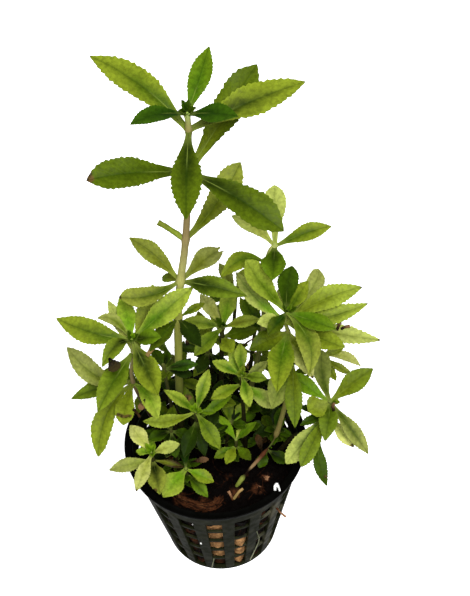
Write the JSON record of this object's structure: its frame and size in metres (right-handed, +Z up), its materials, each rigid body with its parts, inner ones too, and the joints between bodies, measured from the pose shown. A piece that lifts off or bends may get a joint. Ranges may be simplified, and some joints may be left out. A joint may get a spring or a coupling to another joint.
{
  "type": "potted aquarium stem plant",
  "caption": "Bunch of leafy water-plant shoots with toothed leaves, growing from a brown plug in a slotted dark plastic net pot.",
  "frame": {"origin": "centre of the pot's base, on the surface that it stands on", "axes": "+Z up along the pot's axis, -Y towards the viewer of the picture, +X to the viewer's right"},
  "size_m": [0.0825, 0.0576, 0.1767],
  "materials": {
    "pot_plastic": "satin",
    "medium": "matte",
    "stem": "satin",
    "leaf_fresh": "satin",
    "leaf_light": "satin",
    "leaf_mid": "satin",
    "leaf_olive": "satin",
    "leaf_dark": "satin",
    "leaf_pale": "satin",
    "leaf_yellow": "satin",
    "leaf_brownish": "satin"
  },
  "bodies": {
    "root": {"net_pot": "pot_plastic", "growing_medium": "medium", "tall_stem": "stem", "tall_stem_leaf_low_left": "leaf_dark", "tall_stem_leaf_low_right": "leaf_dark", "tall_stem_leaf_low_small": "leaf_olive", "tall_stem_leaf_middle_up_left": "leaf_olive", "tall_stem_leaf_middle_up_right": "leaf_olive", "tall_stem_leaf_middle_left": "leaf_brownish", "tall_stem_leaf_middle_right": "leaf_dark", "tall_stem_leaf_middle_small": "leaf_dark", "tall_stem_leaf_upper_back": "leaf_olive", "tall_stem_leaf_upper_broken": "leaf_olive", "tall_stem_leaf_high_left": "leaf_mid", "tall_stem_leaf_high_right": "leaf_dark", "tall_stem_leaf_high_back": "leaf_olive", "tall_stem_leaf_top_left": "leaf_light", "tall_stem_leaf_top_front": "leaf_dark", "tall_stem_leaf_top_right": "leaf_light", "tall_stem_leaf_tip_up": "leaf_fresh", "tall_stem_leaf_tip_left": "leaf_dark", "tall_stem_leaf_tip_right": "leaf_dark", "tall_stem_leaf_tip_bud": "leaf_dark", "right_tall_stem": "stem", "right_tall_stem_leaf_low_dark": "leaf_dark", "right_tall_stem_leaf_middle_left": "leaf_mid", "right_tall_stem_leaf_up": "leaf_light", "right_tall_stem_leaf_right": "leaf_mid", "right_tall_stem_leaf_left": "leaf_light", "right_tall_stem_leaf_front": "leaf_dark", "right_shoot": "leaf_pale", "middle_shoot": "leaf_mid", "left_shoot": "leaf_mid", "star_shoot": "leaf_fresh", "front_left_shoot": "leaf_mid", "rim_left_shoot": "leaf_yellow", "small_front_shoot": "leaf_fresh", "front_rim_shoot": "leaf_fresh", "right_low_shoot": "leaf_mid", "right_back_shoot": "leaf_olive", "inner_left_shoot": "leaf_dark", "inner_back_shoot": "leaf_dark", "back_middle_shoot": "leaf_olive", "low_right_sprout": "leaf_dark", "low_front_sprout": "leaf_dark", "under_left_sprout": "leaf_dark", "under_middle_sprout": "leaf_mid", "under_inner_sprout": "leaf_dark", "under_back_sprout": "leaf_dark", "back_shoot_left": "leaf_mid", "back_shoot_middle_left": "leaf_mid", "back_shoot_middle": "leaf_mid", "back_shoot_middle_right": "leaf_mid", "back_shoot_right": "leaf_mid"}
  },
  "joints": []
}
